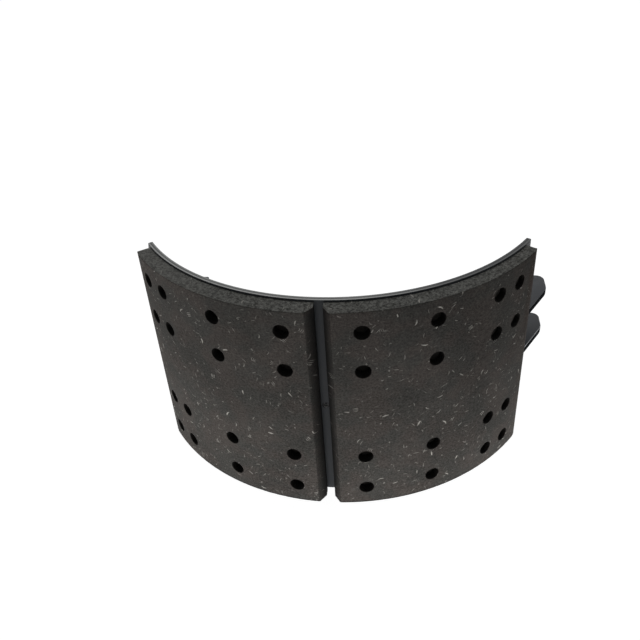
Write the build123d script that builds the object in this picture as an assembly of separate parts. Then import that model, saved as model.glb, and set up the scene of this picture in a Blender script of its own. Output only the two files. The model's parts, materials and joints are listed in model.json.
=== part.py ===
from build123d import *
import os
from math import asin, atan2, cos, degrees, hypot, radians, sin, sqrt, tan

# Brake shoe for a drum of 420 mm bore with a friction track about 220 mm wide.
# A rolled steel table carries two flat webs welded inside it and two friction
# linings riveted to its outside. The webs end in a half-round saddle for the
# anchor pin and in a half-round seat for the journal of the cam roller.
#
# Working frame: X = Y = 0 is the centre of the table's curve, Z = 0 is midway
# between the webs, the crown of the arc points to -Y, and angles are measured
# about that centre from the crown, positive towards the anchor end (+X).
# Last of all the pieces move so that the shoe stands on its side edge, with
# the middle of its box over the origin.

# ---- driving dimensions, in mm and degrees ----
drum_radius = 210.0            # ground outer face of both linings
face_centre_x = -1.5           # drum axis, seen from the centre of the table's curve
face_centre_y = -8.0
lining_thickness = 15.5        # at the crown; the offset centres taper it to the ends
lining_width = 218.0
lining_gap = 7.8               # between the two linings, at the table
gap_angle = -0.95
gap_bevel_depth = 8.0          # bevels beside the gap: into the lining, along its face
gap_bevel_run = 5.6
end_bevel_depth = 0.8          # slight lead-in bevels at the two outer ends
cam_bevel_run = 6.0
anchor_bevel_run = 5.0

rivet_first_angle = 8.54       # columns either side of the middle of the pattern
rivet_column_pitch = 16.7
rivet_end_pitch = 7.02         # the last two columns stand closer together
rivet_pattern_shift = -0.33
rivet_side_distance = 20.1     # outer rows from the sides of the lining
rivet_row_pitch = 39.7         # outer row to inner row
cam_lining_margin = 5.3        # last column to the end of the lining
anchor_lining_margin = 7.2

rivet_shank_diameter = 6.35
rivet_hole_clearance = 0.45    # on diameter
rivet_head_thickness = 1.5
rivet_wall = 1.1               # wall of the tubular end
rivet_bore_depth = 8.0
rivet_roll_lap = 1.4           # clinched roll past the edge of the hole
rivet_roll_height = 1.9
rivet_roll_lean = 0.8          # the roll is this much smaller at its end
rivet_roll_gap = 0.1           # lifts the flat roll off the hollow face of the table
counterbore_diameter = 13.5
counterbore_clearance = 0.4    # round the rivet head
lining_ledge = 5.0             # lining left under each rivet head

table_thickness = 4.5
table_upper_step = 2.0         # table stands proud of the linings' upper side
table_lower_step = 3.0         # and ends short of their lower side
table_anchor_margin = 2.3      # straight edge past the end of the lining
table_cam_margin = 1.4         # full width ends this far past the lining
table_tongue_reach = 10.0      # from there to the end of the tongue
table_tongue_width = 68.0
table_edge_chamfer = 0.5
gauge_hole_diameter = 5.0      # in the middle of the gap between the linings

web_thickness = 7.0
web_spacing = 46.0             # between the middle planes of the two webs
web_depth = 58.5               # inner edge of the web from the table
web_inner_x = 9.9              # centre of that inner edge
web_inner_y = -3.3
cam_arm_depth = 60.0           # inner edge of the cam-end arm from the table
cam_arm_inner_y = 11.5         # centre of that inner edge
cam_arm_blend = 14.0           # rounds the bend between the two inner edges
cam_arm_leave = 1.0            # arm leaves the table before the end of the tongue
cam_arm_lean = 23.5            # outside of the arm's tip from the table's circle
cam_arm_tip_y = -37.0
cam_arm_tip_blend = 4.0
roller_seat_radius = 11.0
roller_horn_width = 5.3        # outside the seat
roller_inner_horn_width = 6.2  # inside the seat, where the arm's inner edge ends
roller_seat_sink = 1.0         # centre of the seat below the tips of the arm

anchor_radius = 14.0           # half-round anchor pin saddle
anchor_inset = 31.2            # saddle centre from the table's outer circle
anchor_y = -42.4
hook_lead = 1.4                # hook leaves the circle this far past the table
hook_width = 16.7              # outer finger of the saddle
hook_tip_rise = 10.9           # its end above the saddle centre
hook_back_blend = 20.0
hook_tip_blend = 8.0
prong_width = 9.0              # inner finger of the saddle
prong_tip_rise = 1.8
prong_root_angle = 46.0        # where its inner edge meets the web's inner edge
prong_root_blend = 40.0
saddle_corner_radius = 1.5

spring_hole_diameter = 10.0    # return-spring hole in the cam half of each web
spring_hole_angle = -39.5
spring_hole_inset = 36.0       # from the table

weld_leg = 4.5
weld_toe = 1.9                 # how far the face of the bead stands below its corner
weld_end_margin = 6.0          # bare web before the first run and after the last
outer_weld_runs = 5
outer_weld_angle = 12.0
inner_weld_runs = 4
inner_weld_angle = 8.0

# ---- derived dimensions ----
table_outer_radius = drum_radius - face_centre_y - lining_thickness
table_width = lining_width + table_upper_step - table_lower_step
table_rise = (table_upper_step + table_lower_step) / 2
table_inner_radius = table_outer_radius - table_thickness
rivet_columns = (rivet_first_angle,
                 rivet_first_angle + rivet_column_pitch,
                 rivet_first_angle + 2 * rivet_column_pitch,
                 rivet_first_angle + 2 * rivet_column_pitch + rivet_end_pitch)
outer_row = lining_width / 2 - rivet_side_distance
rivet_rows = (outer_row, outer_row - rivet_row_pitch, rivet_row_pitch - outer_row, -outer_row)
rivet_hole_diameter = rivet_shank_diameter + rivet_hole_clearance
rivet_head_diameter = counterbore_diameter - 2 * counterbore_clearance
rivet_bore_diameter = rivet_shank_diameter - 2 * rivet_wall
rivet_roll_diameter = rivet_hole_diameter + 2 * rivet_roll_lap
lining_cam_end = rivet_columns[-1] - rivet_pattern_shift + cam_lining_margin
lining_anchor_end = rivet_columns[-1] + rivet_pattern_shift + anchor_lining_margin
table_anchor_end = lining_anchor_end + table_anchor_margin
table_cam_shoulder = lining_cam_end + table_cam_margin
table_cam_end = table_cam_shoulder + table_tongue_reach
web_inner_radius = table_inner_radius - web_depth
cam_arm_inner_radius = table_inner_radius - cam_arm_depth
anchor_x = table_outer_radius - anchor_inset
cam_arm_tip_x = cam_arm_lean - table_inner_radius
roller_seat_x = cam_arm_tip_x + roller_horn_width + roller_seat_radius
cam_arm_end_x = roller_seat_x + roller_seat_radius + roller_inner_horn_width
cam_arm_inner_x = cam_arm_end_x + sqrt(cam_arm_inner_radius**2 - (cam_arm_tip_y - cam_arm_inner_y)**2)
beyond = 2 * drum_radius       # reach of the tools that cut right through


def polar(radius, angle):
    """Point in plan at an angle from the crown, positive towards +X."""
    return (radius * sin(radians(angle)), -radius * cos(radians(angle)))


def face_point(angle):
    """Point in plan on the ground face of the linings, at an angle on the table."""
    ux, uy = polar(1.0, angle)
    along = face_centre_x * ux + face_centre_y * uy
    aside = face_centre_x * uy - face_centre_y * ux
    reach = along + sqrt(drum_radius**2 - aside**2)
    return (reach * ux, reach * uy)


def radial_plane(angle, height):
    """Plane on the outside of the table: z points outwards, x runs along the arc."""
    x, y = polar(table_outer_radius, angle)
    return Plane(origin=(x, y, height), x_dir=(*polar(1.0, angle + 90), 0), z_dir=(x, y, 0))


def arc_about(centre, start, end):
    """Arc from start to end about a centre, by the side nearest the crown."""
    radius = hypot(start[0] - centre[0], start[1] - centre[1])
    first = degrees(atan2(start[0] - centre[0], centre[1] - start[1]))
    last = degrees(atan2(end[0] - centre[0], centre[1] - end[1]))
    mx, my = polar(radius, (first + last) / 2)
    return ThreePointArc(start, (centre[0] + mx, centre[1] + my), end)


def plate(face, thickness, middle):
    """Flat plate of a plan outline, centred on a height."""
    return extrude(Pos(0, 0, middle - thickness / 2) * face, thickness)


def column_angles(side):
    """Rivet columns of the cam-end (-1) or the anchor-end (+1) lining."""
    return [side * column + rivet_pattern_shift for column in rivet_columns]


# ---- shoe table: rolled plate with the rivet holes, narrowed at the cam end ----
def make_table():
    ends = (-table_cam_end, table_anchor_end)
    outside = arc_about((0, 0), *[polar(table_outer_radius, angle) for angle in ends])
    inside = arc_about((0, 0), *[polar(table_inner_radius, angle) for angle in ends])
    edges = [Line(outside @ k, inside @ k) for k in (0, 1)]
    body = plate(make_face([outside, inside, *edges]), table_width, table_rise)
    rims = body.faces().sort_by(Axis.Z)
    body = chamfer([*rims[0].edges(), *rims[-1].edges()], table_edge_chamfer)

    # both corners of the cam end are cut off on a slant
    run = table_outer_radius * tan(radians(table_tongue_reach))
    half_width = table_width / 2
    half_tongue = table_tongue_width / 2
    shoulder = radial_plane(-table_cam_shoulder, table_rise)
    for side in (-1, 1):
        corner = Polyline((0, side * half_width),
                          (-2 * run, side * (2 * half_tongue - half_width)),
                          (-2 * run, side * table_width),
                          (0, side * table_width), close=True)
        body -= extrude(shoulder * make_face(corner), table_width, both=True)

    holes = []
    for angle in column_angles(-1) + column_angles(1):
        for height in rivet_rows:
            hole = Cylinder(rivet_hole_diameter / 2, 4 * table_thickness)
            holes.append(radial_plane(angle, height) * hole)
    holes.append(radial_plane(gap_angle, 0) * Cylinder(gauge_hole_diameter / 2, 4 * table_thickness))
    return body - holes


# ---- web: flat plate, with the pin saddle at one end and the roller seat at the other ----
def circle_crossing():
    """Where the web's main inner edge meets the inner edge of the cam-end arm."""
    dx = cam_arm_inner_x - web_inner_x
    dy = cam_arm_inner_y - web_inner_y
    apart = hypot(dx, dy)
    along = (apart**2 + web_inner_radius**2 - cam_arm_inner_radius**2) / (2 * apart)
    aside = sqrt(web_inner_radius**2 - along**2)
    return (web_inner_x + (along * dx - aside * dy) / apart,
            web_inner_y + (along * dy + aside * dx) / apart)


def web_outline():
    # anchor end: along the table, out to the hook, through the saddle, over the prong
    table_corner = polar(table_inner_radius, table_anchor_end)
    table_edge = polar(table_outer_radius, table_anchor_end)
    hook_slope = table_anchor_end + hook_lead
    hook_foot = polar(table_outer_radius, hook_slope)
    hook_x = anchor_x + anchor_radius + hook_width
    hook_back = (hook_x, hook_foot[1] + (hook_x - hook_foot[0]) * tan(radians(hook_slope)))
    hook_tip_y = anchor_y + hook_tip_rise
    hook_tip = (hook_x, hook_tip_y)
    hook_inside = (anchor_x + anchor_radius, hook_tip_y)
    saddle_start = (anchor_x + anchor_radius, anchor_y)
    saddle_end = (anchor_x - anchor_radius, anchor_y)
    prong_tip_y = anchor_y + prong_tip_rise
    prong_outside = (saddle_end[0], prong_tip_y)
    prong_inside = (saddle_end[0] - prong_width, prong_tip_y)
    root_x, root_y = polar(web_inner_radius, prong_root_angle)
    prong_root = (web_inner_x + root_x, web_inner_y + root_y)
    hook = Polyline(table_corner, table_edge, hook_foot, hook_back, hook_tip, hook_inside, saddle_start)
    saddle = ThreePointArc(saddle_start, (anchor_x, anchor_y - anchor_radius), saddle_end)
    prong = Polyline(saddle_end, prong_outside, prong_inside, prong_root)

    # inner edge: the main arc, then the arc of the cam-end arm
    bend = circle_crossing()
    arm_tip = (cam_arm_end_x, cam_arm_tip_y)
    main_edge = arc_about((web_inner_x, web_inner_y), prong_root, bend)
    arm_edge = arc_about((cam_arm_inner_x, cam_arm_inner_y), bend, arm_tip)

    # cam end: through the roller seat, down the outside of the arm, back along the table
    seat_y = cam_arm_tip_y - roller_seat_sink
    seat_start = (roller_seat_x + roller_seat_radius, seat_y)
    seat_end = (roller_seat_x - roller_seat_radius, seat_y)
    arm_outside = (cam_arm_tip_x, cam_arm_tip_y)
    leave = polar(table_inner_radius, cam_arm_leave - table_cam_end)
    inner_horn = Polyline(arm_tip, (seat_start[0], cam_arm_tip_y), seat_start)
    seat = ThreePointArc(seat_start, (roller_seat_x, seat_y - roller_seat_radius), seat_end)
    outer_horn = Polyline(seat_end, (seat_end[0], cam_arm_tip_y), arm_outside, leave)
    outer_edge = arc_about((0, 0), leave, table_corner)

    face = make_face([hook, saddle, prong, main_edge, arm_edge, inner_horn, seat, outer_horn, outer_edge])
    rounds = ((hook_back, hook_back_blend), (hook_tip, hook_tip_blend),
              (hook_inside, saddle_corner_radius), (prong_outside, saddle_corner_radius),
              (prong_inside, saddle_corner_radius), (prong_root, prong_root_blend),
              (bend, cam_arm_blend), (arm_tip, saddle_corner_radius),
              (arm_outside, cam_arm_tip_blend))
    for point, radius in rounds:
        corner = face.vertices().sort_by_distance((*point, 0))[0]
        face = fillet(corner, radius)
    return face


def make_web(outline, middle):
    x, y = polar(table_inner_radius - spring_hole_inset, spring_hole_angle)
    hole = Pos(x, y, middle) * Cylinder(spring_hole_diameter / 2, 2 * web_thickness)
    return plate(outline, web_thickness, middle) - hole


# ---- fillet welds: separate runs in the corner between a web and the table ----
def make_welds(web_face, direction, runs, run_angle):
    """Runs on one face of a web; direction is +1 above that face and -1 below it."""
    root = (table_inner_radius, 0)
    on_table = (table_inner_radius, weld_leg)
    on_web = (table_inner_radius - weld_leg, 0)
    crest = (table_inner_radius - weld_toe, weld_toe)
    bead = make_face([Line(root, on_table), ThreePointArc(on_table, crest, on_web), Line(on_web, root)])
    first = weld_end_margin - table_cam_shoulder
    last = table_anchor_end - weld_end_margin - run_angle
    welds = []
    for number in range(runs):
        start = first + number * (last - first) / (runs - 1)
        section = Plane(origin=(0, 0, web_face), x_dir=(*polar(1.0, start), 0),
                        z_dir=(*polar(1.0, start - 90 * direction), 0))
        welds.append(revolve(section * bead, Axis.Z, run_angle))
    return welds


# ---- lining: moulded friction block, ground to the drum, bevelled at both ends ----
def bevel_cut(corner, on_face, on_end):
    """Triangle that takes the corner off along the line from on_face to on_end."""
    dx = on_face[0] - on_end[0]
    dy = on_face[1] - on_end[1]
    outside = (3 * corner[0] - on_face[0] - on_end[0], 3 * corner[1] - on_face[1] - on_end[1])
    return make_face(Polyline((on_face[0] + dx, on_face[1] + dy), (on_end[0] - dx, on_end[1] - dy),
                              outside, close=True))


def make_lining(side, end_angle, end_bevel_run):
    """Cam-end (-1) or anchor-end (+1) lining."""
    end_angle *= side
    across = polar(side * lining_gap / 2, gap_angle + 90)
    near = polar(lining_ledge, gap_angle)
    far = polar(beyond, gap_angle)
    sector = make_face(Polyline((near[0] + across[0], near[1] + across[1]),
                                (far[0] + across[0], far[1] + across[1]),
                                polar(beyond, end_angle), polar(lining_ledge, end_angle), close=True))
    profile = Pos(face_centre_x, face_centre_y) * Circle(drum_radius) - Circle(table_outer_radius)
    profile &= sector

    # steep bevel beside the gap
    crown_reach = hypot(*face_point(gap_angle))
    gap_corner = face_point(gap_angle + side * degrees(asin(lining_gap / 2 / crown_reach)))
    gap_face = face_point(gap_angle + side * degrees(asin((lining_gap / 2 + gap_bevel_run) / crown_reach)))
    inward = polar(-gap_bevel_depth, gap_angle)
    gap_end = (gap_corner[0] + inward[0], gap_corner[1] + inward[1])
    profile -= bevel_cut(gap_corner, gap_face, gap_end)

    # slight lead-in bevel at the outer end
    corner = face_point(end_angle)
    lead = face_point(end_angle - side * degrees(end_bevel_run / drum_radius))
    inward = polar(-end_bevel_depth, end_angle)
    profile -= bevel_cut(corner, lead, (corner[0] + inward[0], corner[1] + inward[1]))

    body = plate(profile, lining_width, 0)
    holes = []
    for angle in column_angles(side):
        for height in rivet_rows:
            seat = radial_plane(angle, height) * Pos(0, 0, lining_ledge)
            holes.append(seat * Cylinder(rivet_hole_diameter / 2, 4 * lining_ledge))
            counterbore = Cylinder(counterbore_diameter / 2, 4 * lining_thickness,
                                   align=(Align.CENTER, Align.CENTER, Align.MIN))
            holes.append(seat * counterbore)
    return body - holes


# ---- rivet: flat head in the counterbore, tubular end rolled over inside the table ----
def make_rivet():
    """One set rivet along z, with z = 0 on the outside of the table."""
    head_radius = rivet_head_diameter / 2
    shank_radius = rivet_shank_diameter / 2
    bore_radius = rivet_bore_diameter / 2
    roll_radius = rivet_roll_diameter / 2
    head_top = lining_ledge + rivet_head_thickness
    roll_top = -table_thickness - rivet_roll_gap
    roll_end = roll_top - rivet_roll_height
    bore_top = roll_end + rivet_bore_depth
    section = Polyline((0, head_top), (head_radius, head_top), (head_radius, lining_ledge),
                       (shank_radius, lining_ledge), (shank_radius, roll_top), (roll_radius, roll_top),
                       (roll_radius - rivet_roll_lean, roll_end), (bore_radius, roll_end),
                       (bore_radius, bore_top), (0, bore_top), close=True)
    return revolve(Plane.XZ * make_face(section), Axis.Z)


# ---- build every node ----
outline = web_outline()
upper_web_middle = web_spacing / 2
lower_web_middle = -web_spacing / 2
half_web = web_thickness / 2
nodes = {
    "shoe_table": [make_table()],
    "upper_web": [make_web(outline, upper_web_middle)],
    "lower_web": [make_web(outline, lower_web_middle)],
    "upper_web_outer_welds": make_welds(upper_web_middle + half_web, 1, outer_weld_runs, outer_weld_angle),
    "upper_web_inner_welds": make_welds(upper_web_middle - half_web, -1, inner_weld_runs, inner_weld_angle),
    "lower_web_inner_welds": make_welds(lower_web_middle + half_web, 1, inner_weld_runs, inner_weld_angle),
    "lower_web_outer_welds": make_welds(lower_web_middle - half_web, -1, outer_weld_runs, outer_weld_angle),
    "cam_end_lining": [make_lining(-1, lining_cam_end, cam_bevel_run)],
    "anchor_end_lining": [make_lining(1, lining_anchor_end, anchor_bevel_run)],
}
rivet = make_rivet()
for side, lining_name in ((-1, "cam_end"), (1, "anchor_end")):
    for row, height in enumerate(rivet_rows, start=1):
        places = [radial_plane(angle, height) for angle in column_angles(side)]
        nodes[f"{lining_name}_rivets_row_{row}"] = [place * rivet for place in places]

# ---- stand the shoe on its side edge, with the middle of its box over the origin ----
box = Compound([solid for group in nodes.values() for solid in group]).bounding_box()
stand = Pos(-(box.min.X + box.max.X) / 2, -(box.min.Y + box.max.Y) / 2, -box.min.Z)
os.makedirs("parts", exist_ok=True)
for name, group in nodes.items():
    placed = [stand * solid for solid in group]
    shape = placed[0] if len(placed) == 1 else Compound(placed)
    export_step(shape, f"parts/{name}.step")

centre = stand.position
print("centre of the table's curve at", round(centre.X, 3), round(centre.Y, 3), round(centre.Z, 3))
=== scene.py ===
import json
from math import asin, atan2, ceil, cos, floor, hypot, pi, radians, sin, sqrt, tan
import bmesh
import bpy
from mathutils import Matrix, Vector, noise


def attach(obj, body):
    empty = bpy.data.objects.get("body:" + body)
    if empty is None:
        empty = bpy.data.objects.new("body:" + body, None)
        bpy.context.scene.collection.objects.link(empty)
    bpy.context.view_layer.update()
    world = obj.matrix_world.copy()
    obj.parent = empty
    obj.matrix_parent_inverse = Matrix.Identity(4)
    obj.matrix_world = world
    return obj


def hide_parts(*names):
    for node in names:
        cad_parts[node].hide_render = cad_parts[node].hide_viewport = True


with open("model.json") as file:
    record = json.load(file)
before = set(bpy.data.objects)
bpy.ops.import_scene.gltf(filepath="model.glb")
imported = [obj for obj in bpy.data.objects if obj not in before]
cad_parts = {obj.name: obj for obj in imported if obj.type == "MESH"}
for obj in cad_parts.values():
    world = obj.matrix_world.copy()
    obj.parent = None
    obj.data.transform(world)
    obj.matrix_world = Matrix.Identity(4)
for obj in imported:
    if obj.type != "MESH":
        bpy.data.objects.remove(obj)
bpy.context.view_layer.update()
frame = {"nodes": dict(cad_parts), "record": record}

# ---- Studio ----
# A plain white studio: a pale floor that keeps the shoe's shadow, a large soft
# light overhead, a lit panel in the floor towards the cam end, and a camera
# before the crown that looks down on the linings.
scene = bpy.context.scene
scene.view_settings.view_transform = "Standard"
camera_place = Vector((0.0552, -0.5571, 0.5484))
camera_yaw, camera_pitch, camera_roll = radians(7.954), radians(35.703), radians(4.037)
camera_lens = 41.87
camera_nearest = 0.01
floor_reach = 3.0
floor_shadow = 0.25                 # share of the plain paper in what the camera sees
floor_glow = 1.30
room_glow = 0.14
white = (1.0, 1.0, 1.0)
paper_white = (0.8, 0.8, 0.8)
room_white = (0.93, 0.96, 1.0)


def link(thing):
    """Puts a new object in the scene."""
    scene.collection.objects.link(thing)
    return thing


def new_material(name):
    """A material with nothing but its output; returns it, its node tree and the output node."""
    material = bpy.data.materials.new(name)
    material.use_nodes = True
    tree = material.node_tree
    tree.nodes.clear()
    return material, tree, tree.nodes.new("ShaderNodeOutputMaterial")


def plug(tree, socket, value):
    """Joins an input to a socket, or sets it to a plain number, place or colour."""
    if isinstance(value, bpy.types.NodeSocket):
        tree.links.new(value, socket)
    elif socket.type == "RGBA":
        socket.default_value = (*value, 1.0)
    else:
        socket.default_value = value


def add(tree, kind, inputs=None, **settings):
    """A shader node. Its inputs, by name or number, take sockets or plain values."""
    node = tree.nodes.new("ShaderNode" + kind)
    for key, value in settings.items():
        setattr(node, key, value)
    for key, value in (inputs or {}).items():
        plug(tree, node.inputs[key], value)
    return node


def calc(tree, operation, *terms, clamp=False):
    """One sum on sockets or numbers; returns its socket."""
    inputs = dict(enumerate(terms))
    return add(tree, "Math", inputs, operation=operation, use_clamp=clamp).outputs[0]


def times(tree, first, second):
    return calc(tree, "MULTIPLY", first, second)


def plus(tree, first, second):
    return calc(tree, "ADD", first, second)


def seen_directly(tree):
    """1 for rays from the camera or off gloss and glass, which show the white studio;
    0 for the light it gives."""
    path = add(tree, "LightPath").outputs
    seen = calc(tree, "MAXIMUM", path["Is Camera Ray"], path["Is Glossy Ray"])
    return calc(tree, "MAXIMUM", seen, path["Is Transmission Ray"])


forward = Vector((-sin(camera_yaw) * cos(camera_pitch), cos(camera_yaw) * cos(camera_pitch),
                  -sin(camera_pitch)))
level = Vector((cos(camera_yaw), sin(camera_yaw), 0.0))
across = level * cos(camera_roll) + forward.cross(level) * sin(camera_roll)
camera_data = bpy.data.cameras.new("camera")
camera_data.lens = camera_lens
camera_data.clip_start = camera_nearest
camera = link(bpy.data.objects.new("camera", camera_data))
turned = Matrix((across, across.cross(forward), -forward)).transposed().to_4x4()
camera.matrix_world = Matrix.Translation(camera_place) @ turned
scene.camera = camera

corners = [(x * floor_reach, y * floor_reach, 0.0) for x, y in ((-1, -1), (1, -1), (1, 1), (-1, 1))]
floor_mesh = bpy.data.meshes.new("floor")
floor_mesh.from_pydata(corners, [], [(0, 1, 2, 3)])
floor_sheet = link(bpy.data.objects.new("floor", floor_mesh))
floor_white, tree, output = new_material("floor white")
paper = add(tree, "BsdfDiffuse", {"Color": paper_white})
glow = add(tree, "Emission", {"Color": white, "Strength": floor_glow})
shown = add(tree, "MixShader", {"Fac": floor_shadow, 1: glow.outputs[0], 2: paper.outputs[0]})
mixed = add(tree, "MixShader", {0: seen_directly(tree), 1: paper.outputs[0], 2: shown.outputs[0]})
tree.links.new(mixed.outputs[0], output.inputs["Surface"])
floor_mesh.materials.append(floor_white)

world = bpy.data.worlds.new("studio")
scene.world = world
world.use_nodes = True
tree = world.node_tree
tree.nodes.clear()
output = add(tree, "OutputWorld")
room = add(tree, "Background", {"Color": room_white, "Strength": room_glow})
backdrop = add(tree, "Background", {"Color": white, "Strength": 1.0})
mixed = add(tree, "MixShader", {0: seen_directly(tree), 1: room.outputs[0], 2: backdrop.outputs[0]})
tree.links.new(mixed.outputs[0], output.inputs["Surface"])


def soft_light(name, place, target, size, power, mirrored=True):
    """A large rectangular lamp at place that shines towards target, itself out of sight."""
    lamp_data = bpy.data.lights.new(name, "AREA")
    lamp_data.shape = "RECTANGLE"
    lamp_data.size, lamp_data.size_y = size
    lamp_data.energy = power
    lamp = link(bpy.data.objects.new(name, lamp_data))
    lamp.visible_camera = False
    lamp.visible_glossy = mirrored
    aim = (Vector(target) - Vector(place)).to_track_quat("-Z", "Y").to_matrix().to_4x4()
    lamp.matrix_world = Matrix.Translation(place) @ aim


soft_light("overhead softbox", place=(0.1, 0.5, 1.7), target=(0.0, 0.0, 0.1), size=(1.8, 1.4),
           power=10.0)
soft_light("light table", place=(-0.30, -0.07, 0.0004), target=(-0.30, -0.07, 1.0),
           size=(1.15, 0.58), power=4.3, mirrored=False)

# ---- Shoe table ----
# The curved plate that everything is fixed to: 4.5 mm steel sheared to shape,
# pierced for the rivets, rolled, and dipped in black paint with the webs. Its
# sheared side edges have lost most of their paint and show a line of burr.
saddle_offset = Vector((0.1713, -0.0424, 0.0))     # anchor pin saddle from the centre of the curve
places = {mount["name"]: Vector(mount["pos_m"]) for mount in frame["record"]["mounts"]}
centre = places["anchor_pin_saddle"] - saddle_offset
table_outer = 0.2025
table_inner = 0.198
table_low, table_high = -0.106, 0.111
table_middle = (table_low + table_high) / 2
table_anchor_end = radians(58.13)
table_shoulder = radians(-55.99)
table_cam_end = radians(-65.99)
tongue_half = 0.034
table_pitch = 0.0042                # size of the mesh cells between the holes
table_wall_steps = 6
table_round, table_shortest = 0.0006, 0.0012       # rounding, and the shortest edge that gets it
sharp_turn = radians(50)
gap_angle = radians(-0.95)
pattern_shift = radians(-0.33)
column_angles = [radians(angle) for angle in (8.54, 25.24, 41.94, 48.96)]
cam_columns = sorted(-angle + pattern_shift for angle in column_angles)
anchor_columns = sorted(angle + pattern_shift for angle in column_angles)
hole_angles = [*cam_columns, gap_angle, *anchor_columns]
row_heights = (-0.0889, -0.0492, 0.0492, 0.0889)
hole_heights = sorted((*row_heights, 0.0))
hole_cells, hole_block = 6, 0.0051  # cells across the block round a hole, and half its size
hole_radius, hole_edge = 0.0034, 0.0002
gauge_radius = 0.0025
outer_lip = (table_outer - 0.0016, table_outer - 0.0007)
inner_lip = (table_inner + 0.0014, table_inner + 0.0006)
burr_level, burr_wander = table_inner + 0.0024, 0.0008
burr_soft, burr_core = 0.0004, 0.0001
gauge_shade_ring = (0.0036, 0.0028)       # the painted shade ring's soft and full radius
table_black = (0.024, 0.027, 0.031)
dust_grey = (0.10, 0.10, 0.095)
dark_steel, pale_steel = (0.065, 0.067, 0.066), (0.19, 0.195, 0.19)
lip_steel = (0.40, 0.40, 0.39)
clinging_paint = (0.020, 0.021, 0.023)
burr_dark = (0.015, 0.015, 0.016)
painted_shade_black = (0.003, 0.003, 0.003)


def around(radius, angle, height):
    """The place at a distance from the centre of the table's curve, an angle from the crown
    and a height from mid-width."""
    return centre + Vector((radius * sin(angle), -radius * cos(angle), height))


def circle(radius, count):
    """Points of a circle, each as a distance aside and up."""
    for k in range(count):
        turn = 2 * pi * k / count - 3 * pi / 4
        yield radius * cos(turn), radius * sin(turn)


def drill_ring(angle, height, radius, level, count):
    """Ring of places square to a line through the curve's centre, at a level above the outside
    of the table."""
    reach = table_outer + level
    return [around(hypot(reach, aside), angle + atan2(aside, reach), height + up)
            for aside, up in circle(radius, count)]


def band(mesh, first, second):
    """A band of faces between two closed loops of the same length."""
    for k in range(len(first)):
        nxt = (k + 1) % len(first)
        mesh.faces.new((first[k], first[nxt], second[nxt], second[k]))


def bands(mesh, loops):
    for first, second in zip(loops, loops[1:]):
        band(mesh, first, second)


def lattice(low, high, blocks, half, cells, pitch, creases=()):
    """Line positions from low to high: a fixed number of cells across each block, at most a
    pitch elsewhere. Also returns the number of the line that each block starts at."""
    lines, starts = [low], []
    edges = [low] + [middle + side * half for middle in blocks for side in (-1, 1)] + [high]
    for index, (start, end) in enumerate(zip(edges, edges[1:])):
        if index % 2:
            starts.append(len(lines) - 1)
            spans = [(start, end, cells)]
        else:
            stops = [start, *(crease for crease in creases if start < crease < end), end]
            spans = [(a, b, max(1, ceil((b - a) / pitch))) for a, b in zip(stops, stops[1:])]
        for a, b, steps in spans:
            lines += [a + (b - a) * step / steps for step in range(1, steps + 1)]
    return lines, starts


def rim_of(columns, rows):
    """The lattice points round a block, as column and row numbers."""
    return ([(i, 0) for i in range(columns)] + [(columns, j) for j in range(rows)]
            + [(columns - i, rows) for i in range(columns)] + [(0, rows - j) for j in range(rows)])


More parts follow.
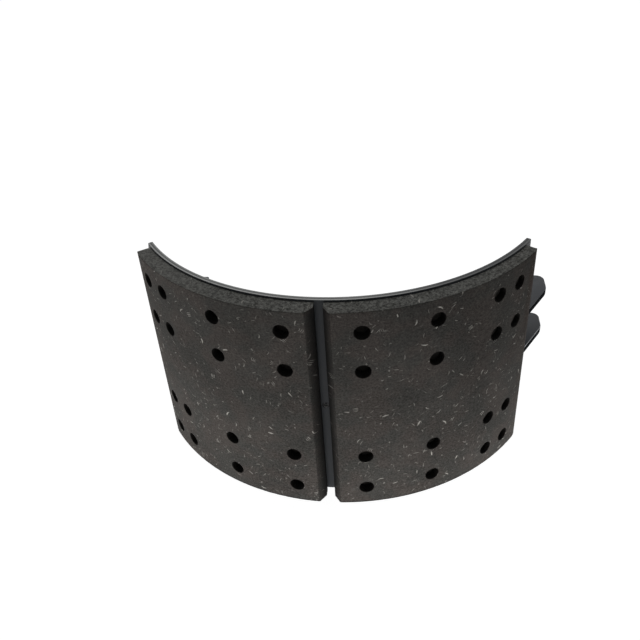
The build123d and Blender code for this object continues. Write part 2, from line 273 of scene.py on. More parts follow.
class Slab:
    """A closed curved slab between an outer and an inner sheet, each a function of angle and
    height, with round holes drilled towards the centre of the table's curve."""

    def __init__(self, outer, inner, columns, rows, wall_steps):
        self.mesh = bmesh.new()
        self.bore = self.mesh.verts.layers.float.new("bore")
        self.sheets = (outer, inner)
        self.columns, self.rows = columns, rows
        self.wall_steps = wall_steps
        self.open_cells = set()
        self.grids = [[self.loop(sheet(angle, height) for height in rows) for angle in columns]
                      for sheet in self.sheets]

    def loop(self, points):
        return [self.mesh.verts.new(point) for point in points]

    def on_sheet(self, side, angle, height, radius, count, sink):
        """Angle and height of each point where a drill of that radius meets a sheet, and the
        points themselves, sunk a little below it."""
        spots, points = [], []
        for aside, up in circle(radius, count):
            reach = table_outer
            for _ in range(3):
                spot = angle + asin(aside / reach)
                place = self.sheets[side](spot, height + up) - centre
                reach = hypot(place.x, place.y)
            spots.append((spot, height + up))
            points.append(around(reach - sink, spot, height + up))
        return spots, points

    def drill(self, column, row, cells, angle, height, rings):
        """Opens a block of cells and lines the hole. The rings go from the outer sheet to the
        inner one; each is (radius, level, sink), with the level "out" or "in" on a sheet."""
        self.open_cells |= {(column + i, row + j) for i in range(cells) for j in range(cells)}
        rim = rim_of(cells, cells)
        borders = [[grid[column + i][row + j] for i, j in rim] for grid in self.grids]
        border_spots = [(self.columns[column + i], self.rows[row + j]) for i, j in rim]

        def part_way(side, share):
            """A loop on a sheet, between the block's border and the hole."""
            return self.loop(self.sheets[side](a + (c - a) * share, b + (d - b) * share)
                             for (a, b), (c, d) in zip(border_spots, spots))

        loops = [borders[0]]
        for number, (radius, level, sink) in enumerate(rings):
            on_a_sheet = level in ("out", "in")
            if on_a_sheet:
                side = ("out", "in").index(level)
                spots, points = self.on_sheet(side, angle, height, radius, len(rim), sink)
            else:
                points = drill_ring(angle, height, radius, level, len(rim))
            if number == 0:
                loops += [part_way(0, 1 / 3), part_way(0, 2 / 3)]
            loops.append(self.loop(points))
            if not on_a_sheet or sink > 0:
                for vert in loops[-1]:
                    vert[self.bore] = 1.0
        loops += [part_way(1, 2 / 3), part_way(1, 1 / 3), borders[1]]
        bands(self.mesh, loops)

    def close(self):
        """Fills the rest of both sheets and the four walls between them."""
        last_column, last_row = len(self.columns) - 1, len(self.rows) - 1
        for grid in self.grids:
            for i in range(last_column):
                for j in range(last_row):
                    if (i, j) not in self.open_cells:
                        self.mesh.faces.new((grid[i][j], grid[i + 1][j], grid[i + 1][j + 1],
                                             grid[i][j + 1]))
        rim = rim_of(last_column, last_row)
        outer, inner = [[grid[i][j] for i, j in rim] for grid in self.grids]
        walls = [self.loop(a.co.lerp(b.co, step / self.wall_steps) for a, b in zip(outer, inner))
                 for step in range(1, self.wall_steps)]
        bands(self.mesh, [outer, *walls, inner])
        bmesh.ops.recalc_face_normals(self.mesh, faces=self.mesh.faces)


def soften(mesh, width, segments, sharper_than, keep=lambda edge: True):
    """Rounds the edges that turn by more than an angle."""
    edges = [edge for edge in mesh.edges
             if edge.is_manifold and edge.calc_face_angle() > sharper_than and keep(edge)]
    bmesh.ops.bevel(mesh, geom=edges, offset=width, segments=segments, profile=0.5,
                    affect="EDGES", clamp_overlap=True)


def finished(mesh, name, material, crease):
    """Turns a bmesh into a piece with smooth shading that stops at creases."""
    data = bpy.data.meshes.new(name)
    mesh.to_mesh(data)
    mesh.free()
    data.polygons.foreach_set("use_smooth", [True] * len(data.polygons))
    data.set_sharp_from_angle(angle=crease)
    data.materials.append(material)
    return link(bpy.data.objects.new(name, data))


def table_half_width(angle):
    """Half the table's width: full up to the shoulder, then cut on a slant to the tongue."""
    full = (table_high - table_low) / 2
    past = max(0.0, table_shoulder - angle)
    return full + (tongue_half - full) * (sin(past) / tan(table_shoulder - table_cam_end))


def table_sheet(radius):
    """One side of the table, narrowed towards the cam end."""
    def sheet(angle, height):
        squeeze = table_half_width(angle) * 2 / (table_high - table_low)
        return around(radius, angle, table_middle + (height - table_middle) * squeeze)
    return sheet


def new_group(name, inputs, outputs):
    """A shader node group with these (name, kind) sockets; returns it and the nodes of its
    inputs and outputs."""
    group = bpy.data.node_groups.new(name, "ShaderNodeTree")
    for direction, sockets in (("INPUT", inputs), ("OUTPUT", outputs)):
        for label, kind in sockets:
            group.interface.new_socket(label, in_out=direction, socket_type="NodeSocket" + kind)
    return group, group.nodes.new("NodeGroupInput"), group.nodes.new("NodeGroupOutput")


def use_group(tree, group, inputs):
    """Places a group in a node tree; returns its outputs."""
    return add(tree, "Group", inputs, node_tree=group).outputs


def ramp(tree, value, low, high, start=0.0, end=1.0):
    """Smooth step from start to end as the value goes from low to high; returns its socket."""
    return add(tree, "MapRange", {"Value": value, "From Min": low, "From Max": high,
                                  "To Min": start, "To Max": end},
               interpolation_type="SMOOTHSTEP").outputs["Result"]


def blend(tree, share, first, second, mode="MIX"):
    """Mixes two colours by a share; returns the socket."""
    return add(tree, "Mix", {0: share, 6: first, 7: second}, data_type="RGBA",
               blend_type=mode).outputs[2]


def vector(tree, operation, first, second=None):
    """One sum on places or directions; returns its node's outputs."""
    inputs = {0: first} if second is None else {0: first, 1: second}
    return add(tree, "VectorMath", inputs, operation=operation).outputs


def split(tree, place):
    """The three parts of a place or a direction."""
    return add(tree, "SeparateXYZ", {0: place}).outputs


def object_place(tree):
    return add(tree, "TexCoord").outputs["Object"]


def normal_to(tree):
    return add(tree, "NewGeometry").outputs["Normal"]


def rolled_out(tree):
    """Place on the shoe with its curve rolled out flat: along the arc, across the width, out
    from the centre."""
    x, y, z = split(tree, vector(tree, "SUBTRACT", object_place(tree), centre)[0])
    turn = calc(tree, "ARCTAN2", x, times(tree, y, -1.0))
    reach = calc(tree, "SQRT", plus(tree, times(tree, x, x), times(tree, y, y)))
    parts = {0: times(tree, turn, table_outer), 1: z, 2: reach}
    return add(tree, "CombineXYZ", parts).outputs[0]


def noise_at(tree, place, scale, detail=3.0, roughness=0.55, stretch=None):
    """Cloudy noise, 0 to 1; stretch squeezes the place along its three axes first."""
    if stretch:
        place = vector(tree, "MULTIPLY", place, stretch)[0]
    return add(tree, "TexNoise", {"Vector": place, "Scale": scale, "Detail": detail,
                                  "Roughness": roughness}).outputs["Fac"]


def facing(tree):
    """How far a surface faces along the arc and across the width, each from 0 to 1."""
    normal = normal_to(tree)
    outward = vector(tree, "SUBTRACT", object_place(tree), centre)[0]
    tangent = vector(tree, "CROSS_PRODUCT", outward, (0.0, 0.0, 1.0))[0]
    tangent = vector(tree, "NORMALIZE", tangent)[0]
    along = vector(tree, "DOT_PRODUCT", tangent, normal)["Value"]
    return calc(tree, "ABSOLUTE", along), calc(tree, "ABSOLUTE", split(tree, normal)[2])


def bored(tree):
    """1 inside the drilled holes."""
    return add(tree, "Attribute", attribute_name="bore").outputs["Fac"]


def finish_surface(tree, output, inputs, height, strength, distance, specular):
    """Gives a material its surface, with a bump of that strength and distance."""
    bump = add(tree, "Bump", {"Height": height, "Strength": strength, "Distance": distance})
    surface = add(tree, "BsdfPrincipled", {**inputs, "Specular IOR Level": specular,
                                           "Normal": bump.outputs[0]})
    tree.links.new(surface.outputs[0], output.inputs["Surface"])


# the paint has sags, orange peel, dust where the shoe is handled and bright specks
dip_paint, inside, outside = new_group(
    "dip paint", [("Place", "Vector"), ("Paint", "Color"), ("Dust", "Float"), ("Gloss", "Float")],
    [("Color", "Color"), ("Roughness", "Float"), ("Height", "Float")])
tree = dip_paint
socket = inside.outputs
sags = noise_at(tree, socket["Place"], 70.0, 2.0)
peel = noise_at(tree, socket["Place"], 520.0, 2.0)
handled = noise_at(tree, socket["Place"], 28.0, 6.0, 0.65)
specks = noise_at(tree, socket["Place"], 1900.0, 1.0)
dusty = times(tree, ramp(tree, handled, 0.42, 0.72), socket["Dust"])
dusty = calc(tree, "ADD", dusty, times(tree, ramp(tree, specks, 0.68, 0.78), 0.06), clamp=True)
rough = calc(tree, "SUBTRACT", 1.0, socket["Gloss"])
rough = plus(tree, rough, times(tree, handled, 0.12))
rough = calc(tree, "ADD", rough, times(tree, dusty, 0.35), clamp=True)
plug(tree, outside.inputs["Color"], blend(tree, dusty, socket["Paint"], dust_grey))
plug(tree, outside.inputs["Roughness"], rough)
plug(tree, outside.inputs["Height"], plus(tree, times(tree, sags, 0.7), times(tree, peel, 0.12)))

table_paint, tree, output = new_material("table dip paint")
place = rolled_out(tree)
along_arc, _, out_of_centre = split(tree, place)
paint = use_group(tree, dip_paint, {"Place": place, "Paint": table_black, "Dust": 0.12,
                                    "Gloss": 0.62})
# bare steel on the side edges, with bright lips along both corners
rim = ramp(tree, calc(tree, "ABSOLUTE", split(tree, normal_to(tree))[2]), 0.45, 0.8)
streaks = noise_at(tree, place, 1.0, 4.0, 0.6, (60.0, 200.0, 3200.0))
chips = noise_at(tree, place, 330.0, 5.0, 0.7)
bare = times(tree, rim, ramp(tree, chips, 0.30, 0.36))
steel = blend(tree, streaks, dark_steel, pale_steel)
lips = calc(tree, "MAXIMUM", ramp(tree, out_of_centre, *outer_lip),
            ramp(tree, out_of_centre, *inner_lip))
steel = blend(tree, times(tree, lips, 0.5), steel, lip_steel)
# paint still clings to the rim towards the anchor end
steel = blend(tree, ramp(tree, along_arc, 0.0, 0.13, 0.12, 0.72), steel, clinging_paint)
# the burr wanders along the middle of the rim
wander = calc(tree, "SUBTRACT", noise_at(tree, place, 60.0, 3.0), 0.5)
burr = plus(tree, out_of_centre, times(tree, wander, burr_wander))
burr = calc(tree, "ABSOLUTE", calc(tree, "SUBTRACT", burr, burr_level))
steel = blend(tree, ramp(tree, burr, burr_soft, burr_core, 0.0, 0.75), steel, burr_dark)
# painted shade: the holes, the sheared ends and a ring round the gauge hole are painted near black,
# for the shade that falls in them
sheared_end_shade = ramp(tree, facing(tree)[0], 0.7, 0.9, 0.0, 0.85)
dark = calc(tree, "MAXIMUM", bored(tree), sheared_end_shade)
gauge_place = (gap_angle * table_outer, 0.0, table_outer)
from_gauge = vector(tree, "DISTANCE", place, gauge_place)["Value"]
dark = calc(tree, "MAXIMUM", dark, ramp(tree, from_gauge, *gauge_shade_ring))
coat = blend(tree, dark, paint["Color"], painted_shade_black)
finish_surface(tree, output, {
    "Base Color": blend(tree, bare, coat, steel), "Metallic": times(tree, bare, 0.8),
    "Roughness": plus(tree, times(tree, bare, 0.12), paint["Roughness"])},
    plus(tree, paint["Height"], times(tree, bare, streaks)), 0.35, 0.0004, specular=0.22)

table_columns, column_starts = lattice(table_cam_end, table_anchor_end, hole_angles,
                                       hole_block / table_outer, hole_cells,
                                       table_pitch / table_outer, (table_shoulder,))
table_rows, row_starts = lattice(table_low, table_high, hole_heights, hole_block, hole_cells,
                                 table_pitch)
table = Slab(table_sheet(table_outer), table_sheet(table_inner), table_columns, table_rows,
             table_wall_steps)
for angle, column in zip(hole_angles, column_starts):
    for height, row in zip(hole_heights, row_starts):
        gauge = angle == gap_angle
        if gauge != (height == 0.0):
            continue
        radius = gauge_radius if gauge else hole_radius
        table.drill(column, row, hole_cells, angle, height,
                    [(radius + hole_edge, "out", 0.0), (radius, "out", hole_edge),
                     (radius, "in", -hole_edge), (radius + hole_edge, "in", 0.0)])
table.close()
soften(table.mesh, table_round, segments=3, sharper_than=sharp_turn,
       keep=lambda edge: edge.calc_length() > table_shortest)
table_plate = finished(table.mesh, "rolled_table_plate", table_paint, crease=radians(32))
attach(table_plate, "root")
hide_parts("shoe_table")

# ---- Webs ----
# Two flat plates, 7 mm steel burned out to one outline, standing on the inside
# of the table. Their ends take the anchor pin and the roller journals. The
# edges are dressed round, and the paint lies thin and matt on the cut faces.
open_face, closed_face = 0.0265, 0.0195            # each web's two faces, from mid-width
lower_web_top = centre.z - closed_face
hook_start, hook_full = 0.160, 0.168               # where the scraped and painted highlight line begins, and is full
web_round = 0.0009
same_place, same_plane = 1e-6, radians(0.5)        # what is merged in the plate's mesh
cut_face_lean = 0.3                 # a cut face's normal leans this little out of the plate
web_black, web_edge_shade = (0.016, 0.019, 0.024), (0.004, 0.0045, 0.005)
cut_black = (0.016, 0.017, 0.019)
rubbed_steel, scrape_and_highlight_steel = (0.19, 0.20, 0.21), (0.78, 0.79, 0.80)
flame_drag = (900.0, 900.0, 60.0)

web_paint, tree, output = new_material("web dip paint")
place = object_place(tree)
paint = use_group(tree, dip_paint, {"Place": place, "Paint": web_black, "Dust": 0.2,
                                    "Gloss": 0.62})
across_web = calc(tree, "ABSOLUTE", split(tree, normal_to(tree))[2])
# painted shade: the rounded edges are darkened towards the cut faces, which stand in shade
cut_edge = ramp(tree, across_web, 0.5, 0.2)
coat = blend(tree, times(tree, cut_edge, 0.5), paint["Color"], web_edge_shade)
# the paint is rubbed thin along parts of the rounded edges
rounding = times(tree, ramp(tree, across_web, 0.25, 0.45), ramp(tree, across_web, 0.93, 0.75))
worn = ramp(tree, noise_at(tree, place, 24.0, 4.0, 0.65), 0.44, 0.62, 0.0, 0.75)
coat = blend(tree, times(tree, rounding, worn), coat, rubbed_steel)
# the hook of the lower web is scraped bright along its upper edge, and the bright line is also a
# painted highlight of the rounded edge
x, _, z = split(tree, place)
on_lower = times(tree, ramp(tree, z, lower_web_top - 0.0011, lower_web_top - 0.0007),
                 ramp(tree, z, lower_web_top + 0.0010, lower_web_top + 0.0003))
on_hook = times(tree, ramp(tree, x, hook_start, hook_full), on_lower)
scrape_and_highlight = times(tree, on_hook, ramp(tree, across_web, 0.97, 0.86))
coat = blend(tree, scrape_and_highlight, coat, scrape_and_highlight_steel)
drag = noise_at(tree, place, 1.0, 2.0, 0.5, flame_drag)
finish_surface(tree, output, {"Base Color": coat, "Roughness": paint["Roughness"]},
               plus(tree, paint["Height"], times(tree, cut_edge, drag)), 0.4, 0.0005,
               specular=0.26)

cut_paint, tree, output = new_material("cut face paint")
place = object_place(tree)
paint = use_group(tree, dip_paint, {"Place": place, "Paint": cut_black, "Dust": 0.10,
                                    "Gloss": 0.3})
drag = noise_at(tree, place, 1.0, 2.0, 0.5, flame_drag)
finish_surface(tree, output, {"Base Color": paint["Color"], "Roughness": paint["Roughness"]},
               plus(tree, paint["Height"], drag), 0.5, 0.0005, specular=0.0)


def dressed_plate(node, name):
    """A copy of a flat CAD plate with every cut edge rounded and its cut faces painted matt."""
    mesh = bmesh.new()
    mesh.from_mesh(frame["nodes"][node].data)
    bmesh.ops.remove_doubles(mesh, verts=mesh.verts, dist=same_place)
    bmesh.ops.dissolve_limit(mesh, angle_limit=same_plane, verts=mesh.verts, edges=mesh.edges)
    soften(mesh, web_round, segments=3, sharper_than=sharp_turn)
    mesh.normal_update()
    for face in mesh.faces:
        face.material_index = 1 if abs(face.normal.z) < cut_face_lean else 0
    plate = finished(mesh, name, web_paint, crease=radians(38))
    plate.data.materials.append(cut_paint)
    return plate


for node in ("upper_web", "lower_web"):
    plate = dressed_plate(node, node + "_plate")
    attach(plate, "root")
    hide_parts(node)

# ---- Welds ----
# Gas-shielded fillet welds between each web and the table, laid in short runs,
# longer on the open side than between the webs. Every run is a row of
# overlapping ripples that thins out at both ends, painted with the rest.
weld_leg = 0.0046
weld_bulge = 0.0004
weld_root = 0.0006                  # how far a bead reaches into the web and the table
weld_toe_sink = 0.0003
weld_taper, weld_thinning = 0.0035, 0.55           # where a run thins out, and how much
diagonal = 0.7071                   # share of a bead's rise along each of its two sides
ripple_pitch, ripple_height = 0.0017, 0.00016
bead_step, bead_width_steps = 0.0004, 12
open_runs, closed_runs = (5, 12.0), (4, 8.0)       # how many, and each one's angle
web_faces = {"upper_web_outer": (open_face, 1, *open_runs),
             "upper_web_inner": (closed_face, -1, *closed_runs),
             "lower_web_inner": (-closed_face, 1, *closed_runs),
             "lower_web_outer": (-open_face, -1, *open_runs)}
weld_start, weld_stop = -49.99, 52.13
weld_black = (0.015, 0.016, 0.018)

weld_paint, tree, output = new_material("weld dip paint")
paint = use_group(tree, dip_paint, {"Place": object_place(tree), "Paint": weld_black,
                                    "Dust": 0.25, "Gloss": 0.68})
finish_surface(tree, output, {"Base Color": paint["Color"], "Roughness": paint["Roughness"]},
               paint["Height"], 0.4, 0.0004, specular=0.26)


def weld_bead(mesh, web_face, direction, start, stop):
    """One run, from the angle start to stop, in the corner between a web face and the table."""
    length = (stop - start) * table_inner
    steps = round(length / bead_step)
    rings = []
    for step in range(steps + 1):
        along = length * step / steps
        angle = start + (stop - start) * step / steps
        left = min(along, length - along) / weld_taper
        size = weld_leg * (1 - weld_thinning * (1 - min(1.0, left)) ** 2.2)
        size *= 1 + 0.05 * noise.noise(Vector((along * 160, start * 40, web_face * 900)))
        ring = [(-weld_root, -weld_root)]
        for part in range(bead_width_steps + 1):
            share = part / bead_width_steps
            wave = along / ripple_pitch - 0.9 * (2 * share - 1) ** 2
            wave += 0.25 * noise.noise(Vector((along * 300, start * 70, web_face * 500 + share)))
            ripple = ripple_height * (wave - floor(wave)) ** 1.6
            out = 4 * share * (1 - share)
            lift = (weld_bulge + ripple * (0.35 + 0.65 * out)) * out ** 0.5 if out > 0 else 0.0
            lift *= diagonal
            from_table = size * share + lift
            from_web = size * (1 - share) + lift
            if part == 0:
                from_table -= weld_toe_sink
            if part == bead_width_steps:
                from_web -= weld_toe_sink
            ring.append((from_table, from_web))
        rings.append([mesh.verts.new(around(table_inner - a, angle, web_face + direction * b))
                      for a, b in ring])
    bands(mesh, rings)
    mesh.faces.new(rings[0])
    mesh.faces.new(list(reversed(rings[-1])))


for name, (web_face, direction, runs, run_angle) in web_faces.items():
    mesh = bmesh.new()
    for run in range(runs):
        start = weld_start + (weld_stop - run_angle - weld_start) * run / (runs - 1)
        weld_bead(mesh, web_face, direction, radians(start), radians(start + run_angle))
    bmesh.ops.recalc_face_normals(mesh, faces=mesh.faces)
    beads = finished(mesh, name + "_beads", weld_paint, crease=radians(60))
    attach(beads, "root")
    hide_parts(name + "_welds")

# ---- Linings ----
# Two moulded blocks of friction compound, chopped fibre and metal chips in a
# dark resin, cured hard, sawn to length and drilled. They are riveted to the
# table and then ground to the drum's curve, so pale fibre ends show in the face.
drum_radius = 0.210
face_centre = Vector((-0.0015, -0.008))
face_mm = 215                       # roughly how far out the face lies
face_reach = face_mm / 1000
lining_half = 0.109
lining_gap = 0.0078
gap_bevel_depth, gap_bevel_run = 0.0080, 0.0056
end_bevel_depth = 0.0008
bevel_runs = {-1: 0.006, 1: 0.005}
lining_ends = {-1: radians(54.59), 1: radians(55.83)}
lining_ledge = 0.005
counterbore_radius, counterbore_edge = 0.00675, 0.0003
below_mouth, above_ledge = 0.001, 0.0025           # the rings between mouth and ledge
ledge_ring = 0.0045
lining_cells, lining_block, lining_pitch = 10, 0.0085, 0.0019
lining_wall_steps = 8
lining_round, lining_shortest = 0.0005, 0.00145
chip_zone = 0.0012                  # how near an edge chips reach
grain_zone = 0.0001                 # points this near a face belong to it
smooth_zone = 0.001                 # the block stays plain this near the table
upper_chip = 0.0007
lower_chip = upper_chip / 5
side_grain, face_grain = 0.00018, 0.00006          # depth of the sawn and the ground texture
brown_resin, grey_resin = (0.062, 0.055, 0.050), (0.053, 0.051, 0.047)
metal_chip = (0.15, 0.14, 0.125)
pale_fibre = (0.46, 0.44, 0.40)
sawn_dark, sawn_pale = (0.034, 0.034, 0.031), (0.26, 0.26, 0.24)
sawn_cam_end_pale = (0.26, 0.26, 0.245)
bore_shade_black, lining_shade_black = (0.010, 0.009, 0.008), (0.006, 0.006, 0.006)
scorch_red = (0.040, 0.022, 0.016)


def face_place(angle):
    """Plan place on the ground face, from the centre of the table's curve."""
    ray = Vector((sin(angle), -cos(angle)))
    along = face_centre.dot(ray)
    aside = face_centre.x * ray.y - face_centre.y * ray.x
    return ray * (along + sqrt(drum_radius ** 2 - aside ** 2))


def ray_to_line(angle, first, second):
    """How far out a ray from the centre of the table's curve meets the line through two plan
    places."""
    ray, run = Vector((sin(angle), -cos(angle))), second - first
    return (first.x * run.y - first.y * run.x) / (ray.x * run.y - ray.y * run.x)


def is_outside(edge):
    """True for the edges round the block, false for those in the drilled holes."""
    if any(abs(abs(vert.co.z - centre.z) - lining_half) < 1e-5 for vert in edge.verts):
        return True
    first, second = edge.verts
    return (round(first.co.x, 5) == round(second.co.x, 5)
            and round(first.co.y, 5) == round(second.co.y, 5))


def roughen(vert, side, reach):
    """Moves a point of a lining inwards: chips along the long edges, texture elsewhere."""
    place = vert.co - centre
    angle, far = atan2(place.x, -place.y), hypot(place.x, place.y)
    if far < table_outer + smooth_zone:
        return
    depth, to_side = reach(angle) - far, lining_half - abs(place.z)
    inwards = -Vector((place.x, place.y, 0)).normalized()
    to_middle = Vector((0, 0, -1 if place.z > 0 else 1))
    if depth < chip_zone and to_side < chip_zone:
        spot = Vector((angle * face_mm * 0.42, place.z * 3, side * 7.0))
        chip = max(0.0, noise.noise(spot) + noise.noise(spot * 2.7) * 0.6 - 0.1)
        chip *= upper_chip if place.z > 0 else lower_chip
        vert.co += (inwards + to_middle) * chip
    elif to_side < grain_zone:
        rough = noise.noise(Vector((angle * face_mm * 0.9, far * 900, place.z * 10)))
        vert.co += to_middle * side_grain * (rough + 1)
    elif depth < grain_zone:
        rough = noise.noise(Vector((angle * face_mm * 0.25, place.z * 250, side * 3.0)))
        vert.co += inwards * face_grain * (rough + 1)


def make_lining(side, name, columns):
    """The lining on one side of the gap, from its bevelled end there to its outer end."""
    end = side * lining_ends[side]
    gap_ray = Vector((sin(gap_angle), -cos(gap_angle)))
    crown_reach = face_place(gap_angle).length
    crease = gap_angle + side * asin((lining_gap / 2 + gap_bevel_run) / crown_reach)
    corner = face_place(gap_angle + side * asin(lining_gap / 2 / crown_reach))
    gap_low = corner - gap_ray * gap_bevel_depth
    lead = end - side * bevel_runs[side] / drum_radius
    end_low = face_place(end) - Vector((sin(end), -cos(end))) * end_bevel_depth
    gap_line = (face_place(crease), gap_low)
    end_line = (face_place(lead), end_low)
    near = atan2(gap_low.x, -gap_low.y)
    near_inside = gap_angle + side * asin(lining_gap / 2 / table_outer)

    def reach(angle):
        furthest = face_place(angle).length
        if side * (angle - crease) < 0:
            furthest = min(furthest, ray_to_line(angle, *gap_line))
        if side * (angle - lead) > 0:
            furthest = min(furthest, ray_to_line(angle, *end_line))
        return furthest

    def outer(angle, height):
        return around(reach(angle), angle, height)

    def inner(angle, height):
        past = max(0.0, side * (crease - angle)) / (side * (crease - near))
        return around(table_outer, angle + past * (near_inside - near), height)

    low, high = sorted((near, end))
    grid_columns, column_starts = lattice(low, high, columns, lining_block / face_reach,
                                          lining_cells, lining_pitch / face_reach,
                                          sorted((crease, lead)))
    grid_rows, row_starts = lattice(-lining_half, lining_half, row_heights, lining_block,
                                    lining_cells, lining_pitch)
    slab = Slab(outer, inner, grid_columns, grid_rows, lining_wall_steps)
    hole_rings = [(counterbore_radius + counterbore_edge, "out", 0.0),
                  (counterbore_radius, "out", counterbore_edge),
                  (counterbore_radius, "out", below_mouth),
                  (counterbore_radius, lining_ledge + above_ledge, 0.0),
                  (counterbore_radius, lining_ledge, 0.0), (ledge_ring, lining_ledge, 0.0),
                  (hole_radius, lining_ledge, 0.0), (hole_radius, "in", 0.0)]
    for angle, column in zip(columns, column_starts):
        for height, row in zip(row_heights, row_starts):
            slab.drill(column, row, lining_cells, angle, height, hole_rings)
    slab.close()
    soften(slab.mesh, lining_round, segments=2, sharper_than=radians(24),
           keep=lambda edge: edge.calc_length() > lining_shortest and is_outside(edge))
    for vert in slab.mesh.verts:
        roughen(vert, side, reach)
    return finished(slab.mesh, name, compound, crease=radians(30))


# one lot of fibre ends: a thin lens in each cell of a pattern, or none
fibre_flecks, inside, outside = new_group(
    "fibre flecks", [("Place", "Vector"), ("Cell", "Float"), ("Length", "Float"),
                     ("Width", "Float"), ("Share", "Float"), ("Strands", "Float")],
    [("Mask", "Float"), ("Tone", "Float")])
tree = fibre_flecks
socket = inside.outputs
per_cell = calc(tree, "DIVIDE", 1.0, socket["Cell"])
scaled = add(tree, "VectorMath", {0: socket["Place"], "Scale": per_cell},
             operation="SCALE").outputs[0]
cell = add(tree, "TexVoronoi", {"Vector": scaled}, voronoi_dimensions="2D", feature="F1")
plug(tree, cell.inputs["Scale"], 1.0)
plug(tree, cell.inputs["Randomness"], 0.85)
off = vector(tree, "SUBTRACT", scaled, cell.outputs["Position"])[0]
off = add(tree, "VectorMath", {0: off, "Scale": socket["Cell"]}, operation="SCALE").outputs[0]
chance = add(tree, "SeparateColor", {0: cell.outputs["Color"]}).outputs
spun = add(tree, "VectorRotate", {"Vector": off, "Angle": times(tree, chance[0], 2 * pi)},
           rotation_type="Z_AXIS").outputs[0]
along, aside, _ = split(tree, spun)
# each lens is bent to one side, and some are split into strands
varied = plus(tree, 0.55, times(tree, chance[1], 0.8))
long = calc(tree, "DIVIDE", along, times(tree, socket["Length"], varied))
hook = times(tree, calc(tree, "SUBTRACT", chance[2], 0.5), 6.0)
hook = times(tree, hook, times(tree, times(tree, long, long), socket["Width"]))
curved = calc(tree, "SUBTRACT", aside, hook)
comb = calc(tree, "PINGPONG", curved, times(tree, socket["Width"], 1.5))
comb = times(tree, comb, 2.2)
within = calc(tree, "LESS_THAN", calc(tree, "ABSOLUTE", curved),
              times(tree, socket["Width"], 3.6))
strand = plus(tree, times(tree, comb, socket["Strands"]),
              times(tree, curved, calc(tree, "SUBTRACT", 1.0, socket["Strands"])))
wide = calc(tree, "DIVIDE", strand, times(tree, socket["Width"], varied))
far = calc(tree, "SQRT", plus(tree, times(tree, long, long), times(tree, wide, wide)))
ragged = calc(tree, "SUBTRACT", noise_at(tree, socket["Place"], 1100.0, 2.0), 0.5)
far = plus(tree, far, times(tree, ragged, 1.1))
fleck = times(tree, ramp(tree, far, 1.0, 0.7), within)
gather = ramp(tree, noise_at(tree, socket["Place"], 38.0, 2.0), 0.36, 0.64, 0.35, 1.7)
lot = add(tree, "TexWhiteNoise", {"Vector": cell.outputs["Position"]},
          noise_dimensions="2D").outputs["Value"]
present = calc(tree, "LESS_THAN", lot, times(tree, socket["Share"], gather))
plug(tree, outside.inputs["Mask"], times(tree, fleck, present))
# bright and faint ones, each fading towards one tip
tone = times(tree, calc(tree, "POWER", chance[1], 1.6), ramp(tree, long, -1.2, 0.6, 0.45, 1.0))
plug(tree, outside.inputs["Tone"], tone)

compound, tree, output = new_material("friction compound")
place = rolled_out(tree)
along_arc, across_width, out_of_centre = split(tree, place)
facing_along, facing_across = facing(tree)
side_face = ramp(tree, facing_across, 0.7, 0.9)
not_side = calc(tree, "SUBTRACT", 1.0, side_face)
end_face = ramp(tree, facing_along, 0.86, 0.95)
# a flat pattern on the face that turns over onto the side faces and the sawn ends
flat = add(tree, "CombineXYZ", {
    0: plus(tree, along_arc, times(tree, end_face, out_of_centre)),
    1: plus(tree, across_width, times(tree, side_face, out_of_centre))}).outputs[0]
cloud = noise_at(tree, place, 42.0, 3.0, 0.5)
broad = noise_at(tree, place, 14.0, 2.0, 0.5)
grain = noise_at(tree, place, 620.0, 4.0, 0.75)
weave = noise_at(tree, place, 1.0, 2.0, 0.6, (420.0, 900.0, 700.0))
fine = noise_at(tree, place, 2600.0, 2.0, 0.6)
body = blend(tree, ramp(tree, cloud, 0.38, 0.62), brown_resin, grey_resin)
shade = plus(tree, ramp(tree, broad, 0.3, 0.7, 0.86, 1.12),
             ramp(tree, grain, 0.28, 0.72, -0.42, 0.42))
shade = plus(tree, shade, ramp(tree, weave, 0.3, 0.7, -0.12, 0.12))
shade = add(tree, "CombineColor", {0: shade, 1: shade, 2: shade}).outputs[0]
body = blend(tree, 1.0, body, shade, "MULTIPLY")
body = blend(tree, times(tree, ramp(tree, fine, 0.64, 0.76), 0.25), body, metal_chip)
masks = []
for cell_size, length, width, share, strands, strength in (
        (0.0085, 0.0026, 0.00050, 0.20, 0.0, 1.0),      # long slivers
        (0.0120, 0.0021, 0.00050, 0.17, 1.0, 0.85),     # bundles of short strands
        (0.0048, 0.0010, 0.00055, 0.20, 0.0, 0.40),     # crumbs
        (0.0060, 0.0022, 0.00026, 0.34, 0.0, 0.5)):     # hairs
    flecks = use_group(tree, fibre_flecks, {
        "Place": flat, "Cell": cell_size, "Length": length, "Width": width, "Share": share,
        "Strands": strands})
    masks.append(times(tree, flecks["Mask"], times(tree, flecks["Tone"], strength)))
    body = blend(tree, masks[-1], body, pale_fibre)
# the sawn side faces are rougher and paler, most of all at the cam end
sawn = noise_at(tree, place, 420.0, 6.0, 0.85)
cam_end_paler = times(tree, ramp(tree, along_arc, -0.16, -0.04, 1.0, 0.0), 0.22)
side_body = blend(tree, ramp(tree, sawn, 0.36, 0.66), sawn_dark, sawn_pale)
side_body = blend(tree, cam_end_paler, side_body, sawn_cam_end_pale)
for mask in masks:
    side_body = blend(tree, times(tree, mask, 0.9), side_body, pale_fibre)
body = blend(tree, times(tree, side_face, 0.8), body, side_body)
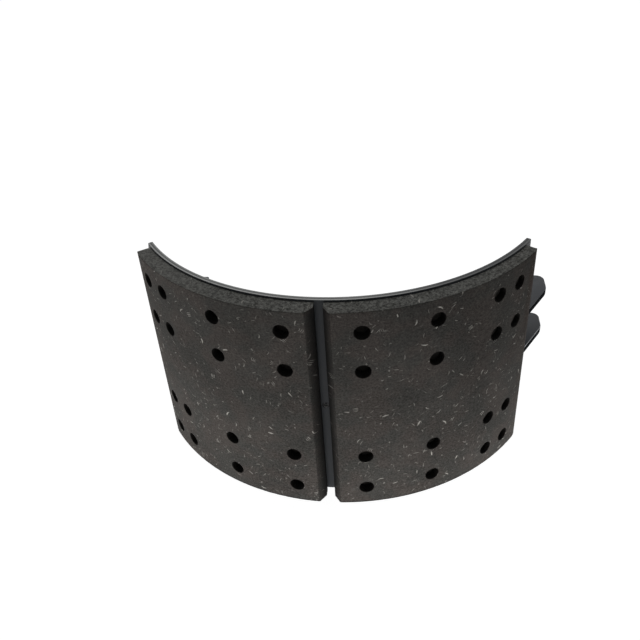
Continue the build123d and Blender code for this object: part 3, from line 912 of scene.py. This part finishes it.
# painted shade in the bores and on the bevels towards the gap, where shade falls; the sawn ends are
# darker too
body = blend(tree, times(tree, ramp(tree, bored(tree), 0.0, 0.7), 0.9), body, bore_shade_black)
bevel_start, bevel_stop = lining_gap / 2, lining_gap / 2 + gap_bevel_run
from_gap = calc(tree, "ABSOLUTE", calc(tree, "SUBTRACT", along_arc, gap_angle * table_outer))
gap_shade_and_end_dark = times(tree, ramp(tree, from_gap, bevel_start, bevel_stop, 0.86, 0.42),
              calc(tree, "LESS_THAN", from_gap, bevel_stop))
gap_shade_and_end_dark = calc(tree, "MAXIMUM", gap_shade_and_end_dark, times(tree, end_face, 0.5))
body = blend(tree, times(tree, gap_shade_and_end_dark, not_side), body, lining_shade_black)
# the last of the face at the anchor end is scorched a dark red
anchor_edge = lining_ends[1] * table_outer
scorch_start, scorch_full = anchor_edge - 0.0100, anchor_edge - 0.0040
scorch = plus(tree, along_arc, times(tree, noise_at(tree, place, 90.0, 4.0, 0.6), 0.008))
scorch = times(tree, ramp(tree, scorch, scorch_start, scorch_full, 0.0, 0.35), not_side)
scorch = times(tree, scorch, ramp(tree, across_width, -0.02, 0.06, 0.1, 0.8))
body = blend(tree, scorch, body, scorch_red)
height = plus(tree, times(tree, grain, 0.7), times(tree, fine, 0.25))
height = plus(tree, height, times(tree, times(tree, side_face, sawn), 1.2))
for mask in masks:
    height = plus(tree, height, times(tree, mask, 0.25))
finish_surface(tree, output, {"Base Color": body,
                              "Roughness": ramp(tree, grain, 0.2, 0.8, 0.68, 0.9)},
               height, 0.6, 0.0004, specular=0.03)

for side, node, columns in ((-1, "cam_end_lining", cam_columns),
                            (1, "anchor_end_lining", anchor_columns)):
    pad = make_lining(side, node + "_block", columns)
    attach(pad, "root")
    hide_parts(node)

# ---- Rivets ----
# Semi-tubular steel rivets, zinc plated: a flat head pulled down on the ledge in
# each counterbore, and the drilled end rolled over against the inside of the
# table. The heads get painted shade for their deep counterbores; the rolled ends stay bright.
rivet_sides = 40
head_shade_zone = 0.002                   # the painted shade of the heads ends this near the table's outside
zinc_shades = (0.42, 0.43, 0.44), (0.68, 0.69, 0.70)
head_dark_and_shade = (0.016, 0.014, 0.012)
# (radius, level above the table's outside) of the turned shape, from head to hollow end
rivet_shape = [(0.0, 0.00655), (0.0034, 0.00652), (0.0057, 0.00645), (0.0062, 0.0063),
               (0.00635, 0.0060), (0.00635, 0.00525), (0.0062, 0.0050), (0.003175, 0.0050),
               (0.003175, -0.0046), (0.0041, -0.0046), (0.0046, -0.0047), (0.0048, -0.0051),
               (0.00475, -0.0056), (0.0044, -0.0061), (0.0039, -0.0064), (0.0033, -0.0065),
               (0.0028, -0.00635), (0.0024, -0.0060), (0.00215, -0.0055), (0.002075, -0.0049),
               (0.002075, 0.0010), (0.0, 0.0015)]

rivet_steel, tree, output = new_material("rivet steel")
place = rolled_out(tree)
set_marks = noise_at(tree, place, 1400.0, 4.0, 0.65)
# painted shade on the heads deep in their counterbores, with some dull set marks
dull_and_shade = ramp(tree, split(tree, place)[2], table_outer - head_shade_zone, table_outer + head_shade_zone)
dull_and_shade = calc(tree, "MAXIMUM", dull_and_shade, times(tree, ramp(tree, set_marks, 0.5, 0.75), 0.3))
zinc = blend(tree, set_marks, *zinc_shades)
finish_surface(tree, output, {"Base Color": blend(tree, dull_and_shade, zinc, head_dark_and_shade),
                              "Metallic": calc(tree, "SUBTRACT", 1.0, dull_and_shade),
                              "Roughness": plus(tree, 0.28, times(tree, dull_and_shade, 0.6))},
               set_marks, 0.25, 0.0002, specular=0.2)


def add_rivet(mesh, angle, height):
    """One set rivet, turned about its axis."""
    (_, top), *outline, (_, bottom) = rivet_shape
    tip = mesh.verts.new(around(table_outer + top, angle, height))
    rings = [[mesh.verts.new(place)
              for place in drill_ring(angle, height, radius, level, rivet_sides)]
             for radius, level in outline]
    pit = mesh.verts.new(around(table_outer + bottom, angle, height))
    for k in range(rivet_sides):
        nxt = (k + 1) % rivet_sides
        mesh.faces.new((tip, rings[0][nxt], rings[0][k]))
        mesh.faces.new((rings[-1][k], rings[-1][nxt], pit))
    bands(mesh, rings)


for lining_name, columns in (("cam_end", cam_columns), ("anchor_end", anchor_columns)):
    for row, height in enumerate(sorted(row_heights, reverse=True), start=1):
        mesh = bmesh.new()
        for angle in columns:
            add_rivet(mesh, angle, height)
        bmesh.ops.recalc_face_normals(mesh, faces=mesh.faces)
        node = f"{lining_name}_rivets_row_{row}"
        rivets = finished(mesh, node.replace("rivets", "set_rivets"), rivet_steel,
                          crease=radians(40))
        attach(rivets, "root")
        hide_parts(node)
